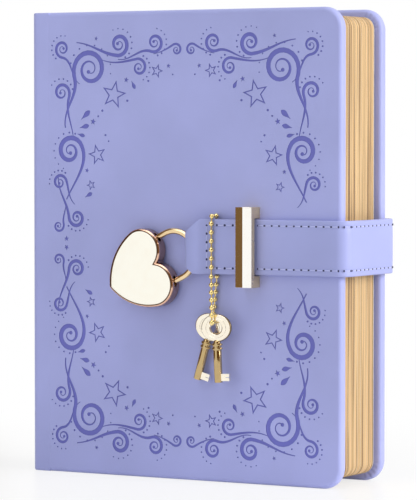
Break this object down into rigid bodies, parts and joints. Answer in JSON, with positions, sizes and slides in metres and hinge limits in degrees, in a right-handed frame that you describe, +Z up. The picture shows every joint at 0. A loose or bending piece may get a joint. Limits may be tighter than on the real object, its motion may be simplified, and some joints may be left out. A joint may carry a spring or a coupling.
{
  "type": "diary with lock",
  "caption": "Thick bound diary with leathercloth covers, gilt page edges and a sewn strap under a brass clasp, closed by a heart padlock, with keys on a bead chain.",
  "frame": {"origin": "middle of the whole's footprint, on the surface the diary stands on", "axes": "+Z up along the spine, -Y out of the front cover, +X from the spine towards the fore-edge"},
  "size_m": [0.1491, 0.0509, 0.19],
  "materials": {
    "cover_leather": "lavender leathercloth, fine grain, semi-matt",
    "grey_board": "unbleached grey board",
    "endpaper": "cream endpaper",
    "gilt_paper": "cream paper with gilt edges",
    "mull_cloth": "open-weave spine cloth",
    "band_cloth": "woven band",
    "strap_leather": "lavender leathercloth, smooth",
    "strap_lining": "lavender leathercloth, plain",
    "thread": "pale lavender sewing thread",
    "clasp_brass": "polished pale gold plate",
    "screw_steel": "plain bright steel",
    "lock_gold": "polished pale gold plate",
    "lock_works": "plain brass",
    "shackle_gold": "polished gold plate",
    "chain_gold": "polished gold plate",
    "key_gold": "polished pale gold plate"
  },
  "bodies": {
    "book": {"back_cover_leather": "cover_leather", "back_board": "grey_board", "back_pastedown": "endpaper", "spine_leather": "cover_leather", "spine_card": "grey_board", "spine_mull": "mull_cloth", "headband": "band_cloth", "tailband": "band_cloth", "back_flyleaf": "endpaper", "strap_anchor_leather": "strap_leather", "strap_anchor_lining": "strap_lining", "strap_anchor_stitching": "thread", "page_section_01": "gilt_paper", "page_section_02": "gilt_paper", "page_section_03": "gilt_paper", "page_section_04": "gilt_paper", "page_section_05": "gilt_paper", "page_section_06": "gilt_paper", "page_section_07": "gilt_paper", "page_section_08": "gilt_paper", "page_section_09": "gilt_paper", "page_section_10": "gilt_paper"},
    "front_cover": {"front_cover_leather": "cover_leather", "front_board": "grey_board", "front_pastedown": "endpaper", "front_joint_leather": "cover_leather", "clasp_staple": "clasp_brass", "clasp_screws": "screw_steel", "clasp_washers": "screw_steel", "strap_tip_leather": "strap_leather", "strap_tip_lining": "strap_lining", "strap_tip_stitching": "thread", "chain_loop": "chain_gold"},
    "front_flyleaf": {"front_flyleaf": "endpaper"},
    "first_leaf": {"first_leaf": "gilt_paper"},
    "second_leaf": {"second_leaf": "gilt_paper"},
    "strap_wrap": {"strap_wrap_leather": "strap_leather", "strap_wrap_lining": "strap_lining", "strap_wrap_stitching": "thread"},
    "strap_front": {"strap_front_leather": "strap_leather", "strap_front_lining": "strap_lining", "strap_front_stitching": "thread"},
    "shackle": {"padlock_shackle": "shackle_gold"},
    "padlock": {"padlock_shell": "lock_gold", "padlock_back": "lock_gold", "padlock_frame": "lock_works", "padlock_key_post": "lock_works", "padlock_rivets": "lock_gold", "padlock_latch_spring": "screw_steel"},
    "latch": {"padlock_latch": "lock_works"},
    "chain_drop": {"chain_drop": "chain_gold"},
    "front_key": {"front_key": "key_gold"},
    "rear_key": {"rear_key": "key_gold"}
  },
  "joints": [
    {"name": "front_cover_hinge", "type": "hinge", "parent": "book", "child": "front_cover", "pos_m": [-0.0686, -0.01617, 0.095], "axis": [0, 0, -1], "range_deg": [0, 165], "deforming": ["front_joint_leather"]},
    {"name": "front_flyleaf_turn", "type": "hinge", "parent": "book", "child": "front_flyleaf", "pos_m": [-0.06385, -0.0107, 0.095], "axis": [0, 0, -1], "range_deg": [0, 95.7]},
    {"name": "first_leaf_turn", "type": "hinge", "parent": "book", "child": "first_leaf", "pos_m": [-0.06385, -0.0103, 0.095], "axis": [0, 0, -1], "range_deg": [0, 46.2]},
    {"name": "second_leaf_turn", "type": "hinge", "parent": "book", "child": "second_leaf", "pos_m": [-0.06385, -0.0099, 0.095], "axis": [0, 0, -1], "range_deg": [0, 19.8]},
    {"name": "strap_rear_bend", "type": "hinge", "parent": "book", "child": "strap_wrap", "pos_m": [0.06935, 0.02022, 0.095], "axis": [0, 0, 1], "range_deg": [0, 95], "deforming": ["strap_wrap_leather", "strap_wrap_lining", "strap_wrap_stitching"]},
    {"name": "strap_front_bend", "type": "hinge", "parent": "strap_wrap", "child": "strap_front", "pos_m": [0.06935, -0.01328, 0.095], "axis": [0, 0, 1], "range_deg": [0, 70], "deforming": ["strap_front_leather", "strap_front_lining", "strap_front_stitching"]},
    {"name": "padlock_swing", "type": "hinge", "parent": "front_cover", "child": "shackle", "pos_m": [-0.00335, -0.01978, 0.0913], "axis": [0, -1, 0], "range_deg": [-20, 25]},
    {"name": "shackle_release", "type": "slide", "parent": "shackle", "child": "padlock", "axis": [-0.9063, 0, -0.4226], "range_m": [0, 0.008]},
    {"name": "latch_slide", "type": "slide", "parent": "padlock", "child": "latch", "axis": [-0.4226, 0, 0.9063], "range_m": [0, 0.002], "deforming": ["padlock_latch_spring"]},
    {"name": "chain_swing", "type": "hinge", "parent": "front_cover", "child": "chain_drop", "pos_m": [0.01495, -0.01922, 0.083], "axis": [0, -1, 0], "range_deg": [-12, 12]},
    {"name": "front_key_swing", "type": "hinge", "parent": "chain_drop", "child": "front_key", "pos_m": [0.01675, -0.02227, 0.0647], "axis": [0, -1, 0], "range_deg": [-25, 25]},
    {"name": "rear_key_swing", "type": "hinge", "parent": "chain_drop", "child": "rear_key", "pos_m": [0.01315, -0.01887, 0.0647], "axis": [0, -1, 0], "range_deg": [-25, 25]}
  ],
  "couplings": [
    {"joint": "front_flyleaf_turn", "follows": "front_cover_hinge", "ratio": 0.58},
    {"joint": "first_leaf_turn", "follows": "front_cover_hinge", "ratio": 0.28},
    {"joint": "second_leaf_turn", "follows": "front_cover_hinge", "ratio": 0.12},
    {"joint": "strap_rear_bend", "follows": "front_cover_hinge", "ratio": 0.57576},
    {"joint": "strap_front_bend", "follows": "front_cover_hinge", "ratio": 0.42424},
    {"joint": "latch_slide", "follows": "shackle_release", "ratio": 0.25}
  ]
}
